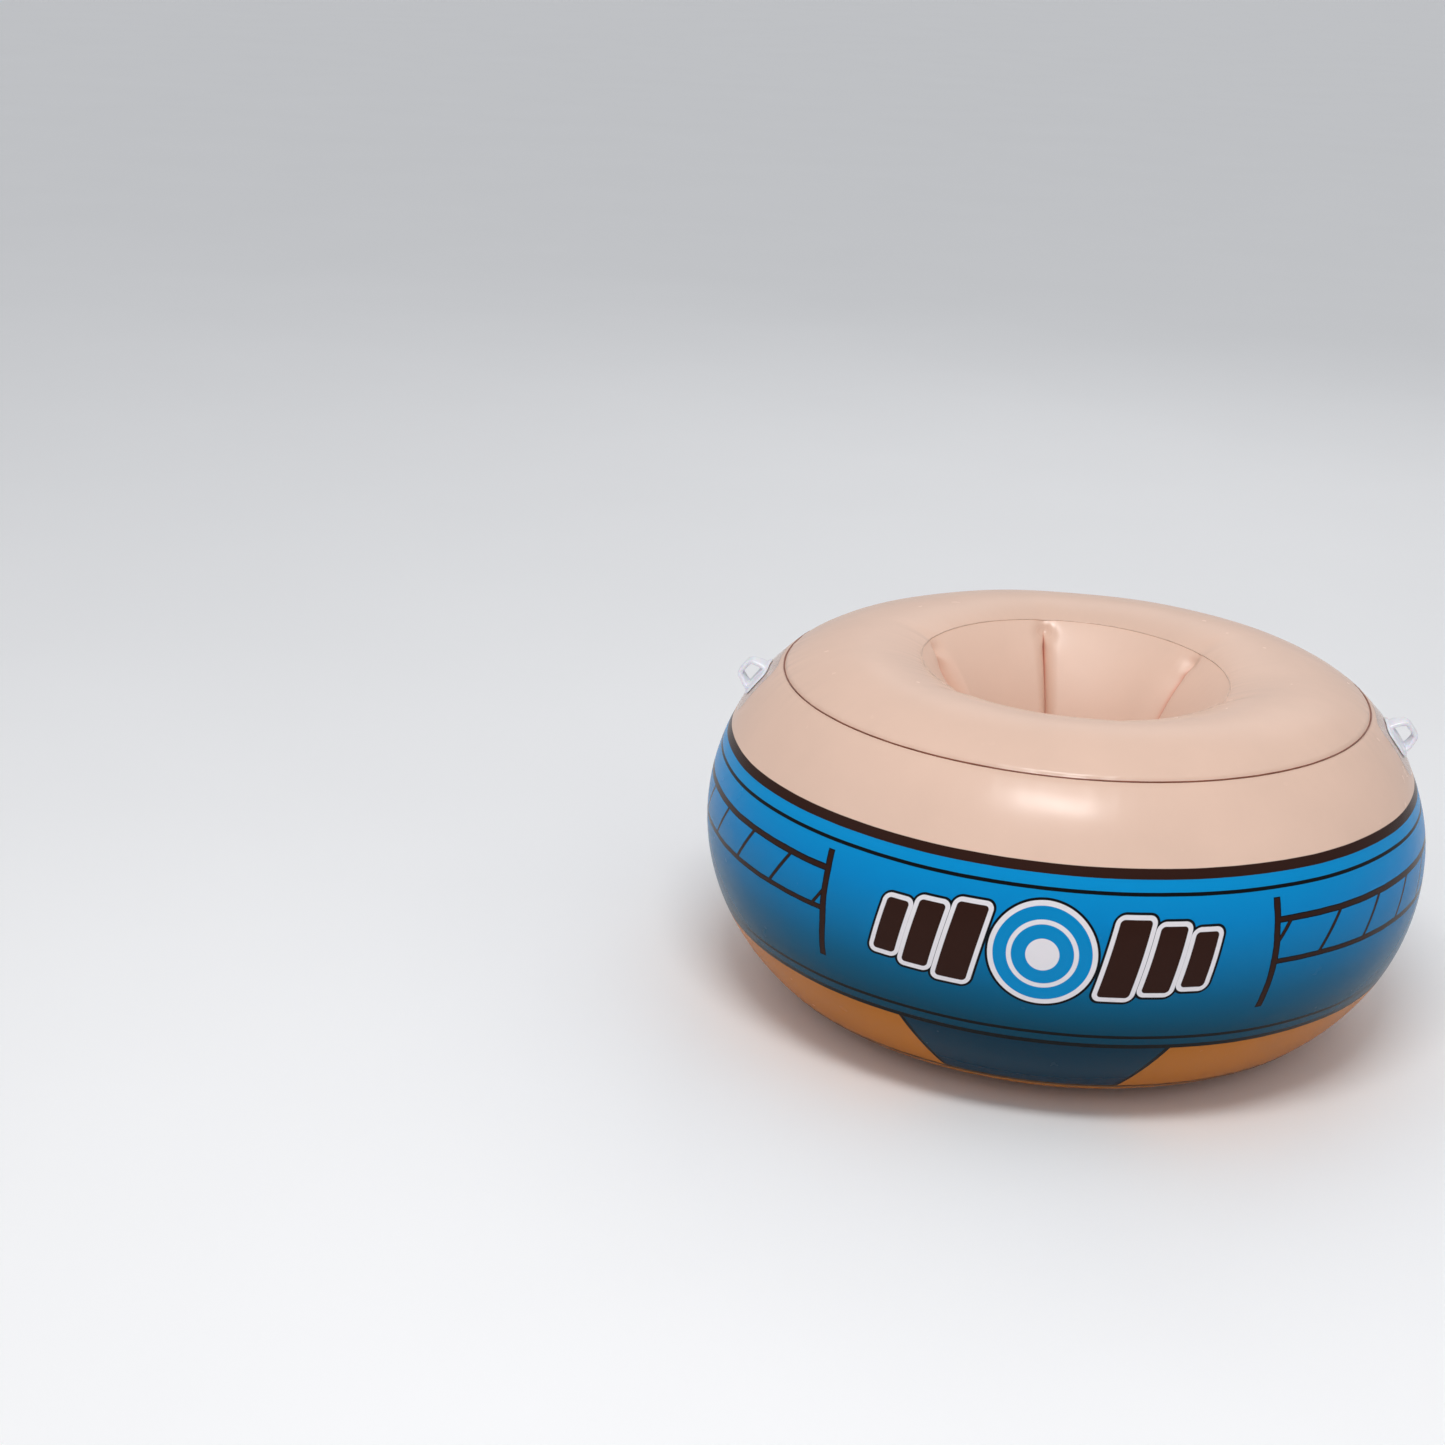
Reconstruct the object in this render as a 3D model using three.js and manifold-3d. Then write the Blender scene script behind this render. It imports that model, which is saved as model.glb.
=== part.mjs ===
// Wearable inflatable ring: a soft bumper worn round the waist.
// Four PVC sheets (top, outer wall, bottom, inner wall) meet in four welded fins. The inner wall
// buckles into lobes round the wearer's hole. Two moulded loops sit on the shoulder at the sides,
// and an inflation valve with a pull-out insert, a one-way flap and a tethered cap sits at the back.
//
// Units are millimetres. +Z is up, the printed front faces -Y, and the origin is on the floor
// under the centre of the hole. A "section" is a half-plane through the Z axis: [radius, height].

import * as THREE from "three";
import { mergeVertices } from "three/addons/utils/BufferGeometryUtils.js";
import Module from "manifold-3d";

const wasm = await Module();
wasm.setup();

// ---- driving dimensions ----------------------------------------------------------------------

const OUTER_RADIUS = 457;
const HEIGHT = 452;
const MID_HEIGHT = HEIGHT / 2;

// Seams, as [radius, height]. The bottom seams mirror the top ones about mid-height.
const SHOULDER_SEAM = [369, 418];
const HOLE_SEAM = [195, 434];

const HOLE_WAIST_RADIUS = 107;
const LOBE_CROWN = 8;
const CREASE_DEPTH = 22;
const CREASE_AZIMUTHS = [37, 104, 167, 226, 284, 340];
const CREASE_TOP_FADE = 0.12;
// Share of a lobe that a crease takes on each side, how sharply it dips, and the wall's columns
// as shares of a lobe.
const CREASE_SHARE = 0.15;
const CREASE_SHARPNESS = 1.5;
const LOBE_COLUMNS = [0, 0.07, 0.15, 0.32, 0.5, 0.68, 0.85, 0.93];

const SHEET = 0.6;
const GAP = 0.3;
const REST_BAND = [255, 285];

const WELD_THICKNESS = 1.4;
const WELD_PROUD = 0.8;
const WELD_DEPTH = 6;
const WELD_SLACK = 0.2;

const AROUND = 60;
const TOP_STEPS = 4;
const OUTER_STEPS = 8;
const INNER_STEPS = 10;

const LOOP_HEIGHT = 382;
const LOOP_STAND = 27;
const LOOP_BASE = 42;
const LOOP_TIP = 27;
const LOOP_BAR = 7.5;
const LOOP_BAND_BASE = 30;
const LOOP_BAND_TIP = 19;
const LOOP_FOOT = 6;
const LOOP_LEAN = 1;
const LOOP_ROOT = 1.5;
const LOOP_PLATE = [74, 44, 3];
const LOOP_PLATE_CORNER = 9;
const LOOP_PATCH = [116, 84, 0.5];
const LOOP_PATCH_CORNER = 18;

const VALVE_HEIGHT = 372;
const SOCKET_BORE = 17;
const SOCKET_WALL = 3;
const SOCKET_DEPTH = 16;
const SOCKET_RISE = 2.6;
const FLANGE_RADIUS = 32;
const FLANGE_BOTTOM = 1.2;
const FLANGE_THICKNESS = 1.2;
const VALVE_PATCH_RADIUS = 46;
const VALVE_HOLE_RADIUS = 20.6;
const INSERT_OUTER = 16.6;
const INSERT_BORE = 13.4;
const INSERT_RIM = 21.5;
const INSERT_RIM_BOTTOM = 4;
const INSERT_RIM_TOP = 6.4;
const INSERT_DEPTH = 14;
const SEAL_WIDTH = 1.8;
const SEAL_CLEARANCE = 0.5;
const BARREL_LEAD = 2;
const CHAMFER = 0.8;
const FLAP_RADIUS = 14.6;
const FLAP_THICKNESS = 1.2;
const CAP_RADIUS = 20.5;
const CAP_THICKNESS = 2.2;
const PLUG_TOP_RADIUS = 12.9;
const PLUG_TIP_RADIUS = 11.8;
const PLUG_WALL = 1.6;
const PLUG_DEPTH = 6;
const STRAP_WIDTH = 10;
const STRAP_REACH = 28;
const STRAP_THICKNESS = 1.4;
const ROUND_SEGMENTS = 32;

// ---- colours -----------------------------------------------------------------------------------

const SKIN = { color: 0xe4c6b2, roughness: 0.32, metalness: 0 };
const BELT_BLUE = { color: 0x0079b0, roughness: 0.3, metalness: 0 };
const TAN = { color: 0x9b642d, roughness: 0.34, metalness: 0 };
const WELD_BROWN = { color: 0x96644b, roughness: 0.4, metalness: 0 };
const CLEAR_PVC = { color: 0xe9ded8, roughness: 0.15, metalness: 0 };
const WHITE_PVC = { color: 0xe6e6ee, roughness: 0.35, metalness: 0 };
const SEAL_GREY = { color: 0x8d9096, roughness: 0.6, metalness: 0 };

function material(look) {
  return new THREE.MeshStandardMaterial(look);
}

// ---- arcs of the section -------------------------------------------------------------------------

// A circular arc in the section, with its centre and radius, and points along it.
class Arc {
  constructor(centre, radius) {
    this.centre = centre;
    this.radius = radius;
  }

  point(angle, offset = 0) {
    const reach = this.radius + offset;
    return [
      this.centre[0] + reach * Math.cos(angle),
      this.centre[1] + reach * Math.sin(angle),
    ];
  }

  angleOf([radius, height]) {
    return Math.atan2(height - this.centre[1], radius - this.centre[0]);
  }
}

// The arc through a seam that is upright at mid-height and bulges to the given radius there.
function wallArc(seam, waistRadius) {
  const rise = seam[1] - MID_HEIGHT;
  const bulge = Math.abs(seam[0] - waistRadius);
  const radius = (rise * rise + bulge * bulge) / (2 * bulge);
  const side = Math.sign(waistRadius - seam[0]);
  return new Arc([waistRadius - side * radius, MID_HEIGHT], radius);
}

// The arc through both top seams that just touches the full height.
function crownArc(inner, outer, top) {
  const span = outer[0] - inner[0];
  const reachAt = (seam, centreHeight) => {
    const radius = top - centreHeight;
    return Math.sqrt(radius * radius - (seam[1] - centreHeight) ** 2);
  };
  let low = 0;
  let high = inner[1];
  const halvings = 60;
  for (let turn = 0; turn < halvings; turn += 1) {
    const middle = (low + high) / 2;
    const total = reachAt(inner, middle) + reachAt(outer, middle);
    if (total > span) low = middle;
    else high = middle;
  }
  return new Arc([inner[0] + reachAt(inner, low), low], top - low);
}

const OUTER_ARC = wallArc(SHOULDER_SEAM, OUTER_RADIUS);
const INNER_ARC = wallArc(HOLE_SEAM, HOLE_WAIST_RADIUS);
const CROWN_ARC = crownArc(HOLE_SEAM, SHOULDER_SEAM, HEIGHT);

// Room that a sheet's edge leaves for half of the weld fin and the gap beside it.
const EDGE_ROOM = WELD_THICKNESS / 2 + GAP + WELD_SLACK;

// ---- mesh helpers ----------------------------------------------------------------------------------

function named(name, geometry, look) {
  const mesh = new THREE.Mesh(geometry, material(look));
  mesh.name = name;
  return mesh;
}

// Spins a closed section outline (counter-clockwise in [radius, height]) about the Z axis.
function spin(outline, segments = AROUND) {
  const points = outline.map(([radius, height]) => new THREE.Vector2(radius, height));
  points.push(points[0].clone());
  const geometry = new THREE.LatheGeometry(points, segments);
  geometry.rotateX(Math.PI / 2);
  return geometry;
}

function toSolid(geometry) {
  const bare = geometry.clone();
  bare.deleteAttribute("normal");
  bare.deleteAttribute("uv");
  const merged = mergeVertices(bare, 1e-4);
  return new wasm.Manifold(
    new wasm.Mesh({
      numProp: 3,
      vertProperties: new Float32Array(merged.attributes.position.array),
      triVerts: new Uint32Array(merged.index.array),
    }),
  );
}

function toGeometry(solid) {
  const mesh = solid.getMesh();
  const geometry = new THREE.BufferGeometry();
  geometry.setAttribute("position", new THREE.BufferAttribute(mesh.vertProperties, 3));
  geometry.setIndex(new THREE.BufferAttribute(mesh.triVerts, 1));
  geometry.computeVertexNormals();
  return geometry;
}

// Position, turn and local axes of a spot on the outer wall: X runs round the ring, Y up the wall
// and Z straight out of it.
function wallFrame(azimuth, lift) {
  const [radius, height] = OUTER_ARC.point(lift);
  const round = new THREE.Vector3(-Math.sin(azimuth), Math.cos(azimuth), 0);
  const out = new THREE.Vector3(
    Math.cos(lift) * Math.cos(azimuth),
    Math.cos(lift) * Math.sin(azimuth),
    Math.sin(lift),
  );
  const up = new THREE.Vector3().crossVectors(out, round);
  const frame = new THREE.Matrix4().makeBasis(round, up, out);
  frame.setPosition(radius * Math.cos(azimuth), radius * Math.sin(azimuth), height);
  return frame;
}

// Bends a flat-based shape (local X, Y, Z as in wallFrame) onto the outer wall.
function wrapOnWall(geometry, azimuth, lift) {
  const position = geometry.attributes.position;
  const wallRadius = OUTER_ARC.point(lift)[0];
  for (let index = 0; index < position.count; index += 1) {
    const turn = azimuth + position.getX(index) / wallRadius;
    const climb = lift + position.getY(index) / OUTER_ARC.radius;
    const [radius, height] = OUTER_ARC.point(climb, position.getZ(index));
    position.setXYZ(index, radius * Math.cos(turn), radius * Math.sin(turn), height);
  }
  return geometry;
}

// A sheet of the given thickness that lies on the wall, as a solid.
function wrappedSlab([width, height, thickness], bottom, azimuth, lift) {
  const cell = 14;
  const slab = new THREE.BoxGeometry(
    width,
    height,
    thickness,
    Math.round(width / cell),
    Math.round(height / cell),
    1,
  );
  slab.translate(0, 0, bottom + thickness / 2);
  return toSolid(wrapOnWall(slab, azimuth, lift));
}

function roundedRectangle(width, height, corner) {
  const right = width / 2;
  const top = height / 2;
  const shape = new THREE.Shape();
  shape.moveTo(-right + corner, -top);
  shape.lineTo(right - corner, -top);
  shape.absarc(right - corner, -top + corner, corner, -Math.PI / 2, 0);
  shape.lineTo(right, top - corner);
  shape.absarc(right - corner, top - corner, corner, 0, Math.PI / 2);
  shape.lineTo(-right + corner, top);
  shape.absarc(-right + corner, top - corner, corner, Math.PI / 2, Math.PI);
  shape.lineTo(-right, -top + corner);
  shape.absarc(-right + corner, -top + corner, corner, Math.PI, Math.PI * 1.5);
  return shape;
}

// A straight prism along the wall's outward direction, used to trim wrapped slabs and cut holes.
function trimPrism(shape, azimuth, lift, curveSegments = 6) {
  const depth = 60;
  const prism = new THREE.ExtrudeGeometry(shape, { depth, bevelEnabled: false, curveSegments });
  prism.translate(0, 0, -depth / 2);
  prism.applyMatrix4(wallFrame(azimuth, lift));
  return toSolid(prism);
}

function trimCylinder(radius, azimuth, lift) {
  const shape = new THREE.Shape();
  shape.absarc(0, 0, radius, 0, Math.PI * 2);
  return trimPrism(shape, azimuth, lift, ROUND_SEGMENTS / 2);
}

// ---- sheets ------------------------------------------------------------------------------------

// Points along an arc from one angle to another, offset from it.
function arcPoints(arc, from, to, steps, offset) {
  const points = [];
  for (let step = 0; step <= steps; step += 1) {
    const angle = from + ((to - from) * step) / steps;
    points.push(arc.point(angle, offset));
  }
  return points;
}

// Crowned annular sheet between the two top seams, as a closed outline.
function crownOutline() {
  const edge = EDGE_ROOM / CROWN_ARC.radius;
  const outerEnd = CROWN_ARC.angleOf(SHOULDER_SEAM) + edge;
  const innerEnd = CROWN_ARC.angleOf(HOLE_SEAM) - edge;
  const upper = arcPoints(CROWN_ARC, outerEnd, innerEnd, TOP_STEPS, 0);
  const lower = arcPoints(CROWN_ARC, outerEnd, innerEnd, TOP_STEPS, -SHEET);
  return [...upper, ...lower.reverse()];
}

function makeTopPanel() {
  return named("top_panel", spin(crownOutline()), SKIN);
}

// The bottom sheet mirrors the top one, with a narrow band pressed flat where the ring stands.
function makeBottomPanel() {
  const edge = EDGE_ROOM / CROWN_ARC.radius;
  const outerEnd = CROWN_ARC.angleOf(SHOULDER_SEAM) + edge;
  const innerEnd = CROWN_ARC.angleOf(HOLE_SEAM) - edge;
  const arcEnds = REST_BAND.map((radius) =>
    Math.acos((radius - CROWN_ARC.centre[0]) / CROWN_ARC.radius),
  );
  const steps = 2;
  const skin = (offset) => {
    const outerPart = arcPoints(CROWN_ARC, outerEnd, arcEnds[1], steps, offset);
    const innerPart = arcPoints(CROWN_ARC, arcEnds[0], innerEnd, steps, offset);
    outerPart[steps] = [REST_BAND[1], HEIGHT + offset];
    innerPart[0] = [REST_BAND[0], HEIGHT + offset];
    return [...outerPart, ...innerPart];
  };
  const mirrored = ([radius, height]) => [radius, HEIGHT - height];
  const below = skin(0).map(mirrored);
  const above = skin(-SHEET).map(mirrored);
  return named("bottom_panel", spin([...below.reverse(), ...above]), TAN);
}

function valveLift() {
  return Math.asin((VALVE_HEIGHT - MID_HEIGHT) / OUTER_ARC.radius);
}

const VALVE_AZIMUTH = Math.PI / 2;

// The printed wall, bulged from seam to seam, with the valve's hole at the back.
function makeOuterWall() {
  const end = OUTER_ARC.angleOf(SHOULDER_SEAM) - EDGE_ROOM / OUTER_ARC.radius;
  const outside = arcPoints(OUTER_ARC, -end, end, OUTER_STEPS, 0);
  const inside = arcPoints(OUTER_ARC, -end, end, OUTER_STEPS, -SHEET);
  const shell = toSolid(spin([...outside, ...inside.reverse()]));
  const hole = trimCylinder(VALVE_HOLE_RADIUS, VALVE_AZIMUTH, valveLift());
  return named("outer_wall", toGeometry(shell.subtract(hole)), BELT_BLUE);
}

// Azimuths of the inner wall's columns: crowded at each crease, wide on each lobe.
function lobeColumns() {
  const columns = [];
  CREASE_AZIMUTHS.forEach((start, index) => {
    const next = CREASE_AZIMUTHS[(index + 1) % CREASE_AZIMUTHS.length];
    const span = (next - start + 360) % 360;
    LOBE_COLUMNS.forEach((across) => {
      columns.push({ azimuth: THREE.MathUtils.degToRad(start + span * across), across });
    });
  });
  return columns;
}

// How far the inner wall leaves its arc at a column and a height share (0 at a seam, 0.5 at mid):
// inwards on a lobe's crown, outwards in a crease.
function lobeOffset(across, share) {
  const swell = Math.sin(Math.PI * share);
  const crown = LOBE_CROWN * swell * 4 * across * (1 - across);
  const nearness = Math.max(0, 1 - Math.min(across, 1 - across) / CREASE_SHARE);
  const fromSeam = Math.min(share, 1 - share);
  const open = Math.min(1, fromSeam / CREASE_TOP_FADE);
  return CREASE_DEPTH * open * nearness ** CREASE_SHARPNESS - crown;
}

// The buckled inner wall, as a grid that closes both round the hole and round its own thickness.
// Both of its faces are cut along the same diagonals, so that they stay apart in the creases.
function makeInnerWall() {
  const columns = lobeColumns();
  const end = INNER_ARC.angleOf(HOLE_SEAM) + EDGE_ROOM / INNER_ARC.radius;
  const span = 2 * (Math.PI - end);
  const rows = [];
  for (let step = 0; step <= INNER_STEPS; step += 1) rows.push({ step, offset: 0 });
  for (let step = INNER_STEPS; step >= 0; step -= 1) rows.push({ step, offset: SHEET });
  const positions = [];
  columns.forEach(({ azimuth, across }) => {
    rows.forEach(({ step, offset }) => {
      const share = step / INNER_STEPS;
      const [radius, height] = INNER_ARC.point(end + span * share, -offset);
      const reach = radius + lobeOffset(across, share);
      positions.push(reach * Math.cos(azimuth), reach * Math.sin(azimuth), height);
    });
  });
  const indices = [];
  columns.forEach((_, column) => {
    const beside = (column + 1) % columns.length;
    rows.forEach((_row, row) => {
      const after = (row + 1) % rows.length;
      const a = column * rows.length + row;
      const b = beside * rows.length + row;
      const c = beside * rows.length + after;
      const d = column * rows.length + after;
      if (row < INNER_STEPS) indices.push(a, b, d, b, c, d);
      else indices.push(a, b, c, a, c, d);
    });
  });
  const geometry = new THREE.BufferGeometry();
  geometry.setAttribute("position", new THREE.Float32BufferAttribute(positions, 3));
  geometry.setIndex(indices);
  geometry.computeVertexNormals();
  return named("inner_wall", geometry, SKIN);
}

// ---- welded fins ---------------------------------------------------------------------------------

// A fin of fused margins: it stands just proud of the seam and runs into the air chamber.
function weldOutline(seam, outward) {
  const out = [Math.cos(outward), Math.sin(outward)];
  const side = [-out[1], out[0]];
  const half = WELD_THICKNESS / 2;
  const corner = (reach, shift) => [
    seam[0] + out[0] * reach + side[0] * shift,
    seam[1] + out[1] * reach + side[1] * shift,
  ];
  return [
    corner(-WELD_DEPTH, -half),
    corner(WELD_PROUD, -half),
    corner(WELD_PROUD, half),
    corner(-WELD_DEPTH, half),
  ];
}

function makeWelds() {
  const shoulder = (CROWN_ARC.angleOf(SHOULDER_SEAM) + OUTER_ARC.angleOf(SHOULDER_SEAM)) / 2;
  const holeWall = INNER_ARC.angleOf(HOLE_SEAM);
  const hole = (CROWN_ARC.angleOf(HOLE_SEAM) + holeWall) / 2;
  const mirror = ([radius, height]) => [radius, HEIGHT - height];
  return [
    ["top_outer_weld", SHOULDER_SEAM, shoulder],
    ["top_inner_weld", HOLE_SEAM, hole],
    ["bottom_outer_weld", mirror(SHOULDER_SEAM), -shoulder],
    ["bottom_inner_weld", mirror(HOLE_SEAM), -hole],
  ].map(([name, seam, outward]) => named(name, spin(weldOutline(seam, outward)), WELD_BROWN));
}

// ---- side loops -----------------------------------------------------------------------------------

function loopLift() {
  return Math.asin((LOOP_HEIGHT - MID_HEIGHT) / OUTER_ARC.radius);
}

// Side view of a loop in [up the wall, out of the wall]: a trapezoid bow with a trapezoid eye.
function loopShape(bottom) {
  const shape = new THREE.Shape();
  const base = LOOP_BASE / 2;
  const tip = LOOP_TIP / 2;
  const corner = 5;
  shape.moveTo(-base, bottom);
  shape.lineTo(base, bottom);
  shape.lineTo(base, bottom + LOOP_FOOT);
  shape.lineTo(tip + LOOP_LEAN, LOOP_STAND - corner);
  shape.quadraticCurveTo(tip, LOOP_STAND, tip - corner, LOOP_STAND);
  shape.lineTo(-tip + corner, LOOP_STAND);
  shape.quadraticCurveTo(-tip, LOOP_STAND, -tip - LOOP_LEAN, LOOP_STAND - corner);
  shape.lineTo(-base, bottom + LOOP_FOOT);
  const eyeBase = base - LOOP_BAR;
  const eyeTip = tip - LOOP_BAR + LOOP_LEAN;
  const eyeBottom = LOOP_PLATE[2] + LOOP_ROOT;
  const eye = new THREE.Path();
  eye.moveTo(-eyeBase, eyeBottom);
  eye.lineTo(-eyeTip, LOOP_STAND - LOOP_BAR);
  eye.lineTo(eyeTip, LOOP_STAND - LOOP_BAR);
  eye.lineTo(eyeBase, eyeBottom);
  shape.holes.push(eye);
  return shape;
}

// The bow: the side view drawn out round the ring, wider at the foot than at the tip.
function makeBow(azimuth, bottom) {
  const settings = { depth: 1, bevelEnabled: false, curveSegments: 5 };
  const bow = new THREE.ExtrudeGeometry(loopShape(bottom), settings);
  bow.translate(0, 0, -0.5);
  const turn = new THREE.Matrix4().set(0, 0, 1, 0, 1, 0, 0, 0, 0, 1, 0, 0, 0, 0, 0, 1);
  bow.applyMatrix4(turn);
  const position = bow.attributes.position;
  for (let index = 0; index < position.count; index += 1) {
    const climb = THREE.MathUtils.clamp(position.getZ(index) / LOOP_STAND, 0, 1);
    const width = THREE.MathUtils.lerp(LOOP_BAND_BASE, LOOP_BAND_TIP, climb);
    position.setX(index, position.getX(index) * width);
  }
  bow.applyMatrix4(wallFrame(azimuth, loopLift()));
  return toSolid(bow);
}

function makeLoop(name, azimuth) {
  const bottom = GAP + LOOP_PATCH[2] + GAP;
  const [width, height] = LOOP_PLATE;
  const outline = roundedRectangle(width, height, LOOP_PLATE_CORNER);
  const slab = wrappedSlab(LOOP_PLATE, bottom, azimuth, loopLift());
  const plate = slab.intersect(trimPrism(outline, azimuth, loopLift()));
  const bow = makeBow(azimuth, bottom + LOOP_ROOT);
  return named(name, toGeometry(plate.add(bow)), WHITE_PVC);
}

function makeLoopPatch(name, azimuth) {
  const [width, height] = LOOP_PATCH;
  const outline = roundedRectangle(width, height, LOOP_PATCH_CORNER);
  const slab = wrappedSlab(LOOP_PATCH, GAP, azimuth, loopLift());
  const trim = trimPrism(outline, azimuth, loopLift());
  return named(name, toGeometry(slab.intersect(trim)), CLEAR_PVC);
}

// ---- valve -------------------------------------------------------------------------------------------
// Every valve piece is drawn about its own Z axis, which points out of the wall.

function makeValvePatch() {
  const margin = 2;
  const size = (VALVE_PATCH_RADIUS + margin) * 2;
  const slab = wrappedSlab([size, size, LOOP_PATCH[2]], GAP, VALVE_AZIMUTH, valveLift());
  const disc = slab.intersect(trimCylinder(VALVE_PATCH_RADIUS, VALVE_AZIMUTH, valveLift()));
  const hole = trimCylinder(VALVE_HOLE_RADIUS, VALVE_AZIMUTH, valveLift());
  return named("valve_patch", toGeometry(disc.subtract(hole)), CLEAR_PVC);
}

// Flange on the wall with a socket through it.
function makeValveBase() {
  const collar = SOCKET_BORE + SOCKET_WALL;
  const outline = [
    [SOCKET_BORE, -SOCKET_DEPTH],
    [collar, -SOCKET_DEPTH],
    [collar, FLANGE_BOTTOM],
    [FLANGE_RADIUS, FLANGE_BOTTOM],
    [FLANGE_RADIUS, FLANGE_BOTTOM + FLANGE_THICKNESS],
    [collar, SOCKET_RISE],
    [SOCKET_BORE, SOCKET_RISE],
  ];
  return named("valve_base", spin(outline, ROUND_SEGMENTS), WHITE_PVC);
}

// Flat ring seal between the socket's mouth and the insert's rim.
function makeValveSeal() {
  const inner = INSERT_OUTER + SEAL_CLEARANCE;
  const bottom = SOCKET_RISE + GAP;
  const top = INSERT_RIM_BOTTOM - GAP;
  const outline = [
    [inner, bottom],
    [inner + SEAL_WIDTH, bottom],
    [inner + SEAL_WIDTH, top],
    [inner, top],
  ];
  return named("valve_seal", spin(outline, ROUND_SEGMENTS), SEAL_GREY);
}

// Barrel with a rim that rests over the socket, and a tab for the cap's strap.
function makeValveInsert() {
  const outline = [
    [INSERT_BORE, -INSERT_DEPTH],
    [INSERT_OUTER - CHAMFER, -INSERT_DEPTH],
    [INSERT_OUTER, -INSERT_DEPTH + BARREL_LEAD],
    [INSERT_OUTER, INSERT_RIM_BOTTOM],
    [INSERT_RIM, INSERT_RIM_BOTTOM],
    [INSERT_RIM, INSERT_RIM_TOP],
    [INSERT_BORE, INSERT_RIM_TOP],
  ];
  const barrel = toSolid(spin(outline, ROUND_SEGMENTS));
  const tabInner = (INSERT_BORE + INSERT_RIM) / 2;
  const tabHeight = INSERT_RIM_TOP - INSERT_RIM_BOTTOM;
  const tab = new THREE.BoxGeometry(STRAP_WIDTH, STRAP_REACH - tabInner, tabHeight);
  tab.translate(0, -(STRAP_REACH + tabInner) / 2, INSERT_RIM_BOTTOM + tabHeight / 2);
  return named("valve_insert", toGeometry(barrel.add(toSolid(tab))), WHITE_PVC);
}

// One-way flap: a disc over the barrel's inner end.
function makeValveFlap() {
  const top = -INSERT_DEPTH - GAP;
  const flap = new THREE.CylinderGeometry(
    FLAP_RADIUS,
    FLAP_RADIUS,
    FLAP_THICKNESS,
    ROUND_SEGMENTS,
  );
  flap.rotateX(Math.PI / 2);
  flap.translate(0, 0, top - FLAP_THICKNESS / 2);
  return named("valve_flap", flap, CLEAR_PVC);
}

const CAP_BOTTOM = INSERT_RIM_TOP + GAP;

// Cap with a hollow, tapered plug.
function makeValveCap() {
  const tip = CAP_BOTTOM - PLUG_DEPTH;
  const top = CAP_BOTTOM + CAP_THICKNESS;
  const outline = [
    [0, CAP_BOTTOM],
    [PLUG_TOP_RADIUS - PLUG_WALL, CAP_BOTTOM],
    [PLUG_TIP_RADIUS - PLUG_WALL, tip],
    [PLUG_TIP_RADIUS, tip],
    [PLUG_TOP_RADIUS, CAP_BOTTOM],
    [CAP_RADIUS, CAP_BOTTOM],
    [CAP_RADIUS, top - CHAMFER],
    [CAP_RADIUS - CHAMFER, top],
    [0, top],
  ];
  const points = outline.map(([radius, height]) => new THREE.Vector2(radius, height));
  const cap = new THREE.LatheGeometry(points, ROUND_SEGMENTS);
  cap.rotateX(Math.PI / 2);
  return named("valve_cap", cap, WHITE_PVC);
}

// Strap beside the cap that bends where it meets the insert's tab.
function makeCapStrap() {
  const inner = CAP_RADIUS + GAP;
  const strap = new THREE.BoxGeometry(STRAP_WIDTH, STRAP_REACH - inner, STRAP_THICKNESS);
  strap.translate(0, -(STRAP_REACH + inner) / 2, CAP_BOTTOM + STRAP_THICKNESS / 2);
  return named("cap_strap", strap, WHITE_PVC);
}

function makeValve() {
  const valve = new THREE.Group();
  valve.applyMatrix4(wallFrame(VALVE_AZIMUTH, valveLift()));
  valve.add(
    makeValveBase(),
    makeValveSeal(),
    makeValveInsert(),
    makeValveFlap(),
    makeValveCap(),
    makeCapStrap(),
  );
  return valve;
}

// ---- the whole ring -------------------------------------------------------------------------------

const ring = new THREE.Group();
ring.add(makeTopPanel(), makeOuterWall(), makeInnerWall(), makeBottomPanel(), ...makeWelds());
ring.add(makeLoopPatch("left_loop_patch", Math.PI), makeLoop("left_loop", Math.PI));
ring.add(makeLoopPatch("right_loop_patch", 0), makeLoop("right_loop", 0));
ring.add(makeValvePatch(), makeValve());

export default ring;
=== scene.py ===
"""Visual model of a wearable inflatable ring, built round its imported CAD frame.

Metres, +Z up, front at -Y."""

import math

import bpy
import numpy as np
from mathutils import Matrix, Vector


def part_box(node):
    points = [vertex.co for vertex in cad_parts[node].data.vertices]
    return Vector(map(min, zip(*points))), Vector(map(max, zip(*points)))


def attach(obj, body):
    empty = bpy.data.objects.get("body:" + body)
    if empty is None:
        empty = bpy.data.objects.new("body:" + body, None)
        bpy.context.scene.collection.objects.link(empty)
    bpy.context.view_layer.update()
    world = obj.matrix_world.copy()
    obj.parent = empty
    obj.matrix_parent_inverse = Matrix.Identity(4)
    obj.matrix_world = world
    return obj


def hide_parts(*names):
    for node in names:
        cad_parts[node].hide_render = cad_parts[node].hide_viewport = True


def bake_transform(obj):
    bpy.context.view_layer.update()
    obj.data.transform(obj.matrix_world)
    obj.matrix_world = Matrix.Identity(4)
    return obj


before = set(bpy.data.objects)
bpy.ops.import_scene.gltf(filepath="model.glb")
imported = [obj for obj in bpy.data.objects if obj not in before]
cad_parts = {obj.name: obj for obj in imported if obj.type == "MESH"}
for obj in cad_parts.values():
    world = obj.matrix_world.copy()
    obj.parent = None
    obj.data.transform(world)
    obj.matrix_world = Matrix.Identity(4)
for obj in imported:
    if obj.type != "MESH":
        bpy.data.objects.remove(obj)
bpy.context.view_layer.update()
RANDOM = np.random.default_rng(11)
MM = 0.001

# ---- section of the ring, as in the CAD ----------------------------------------------------------

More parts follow.
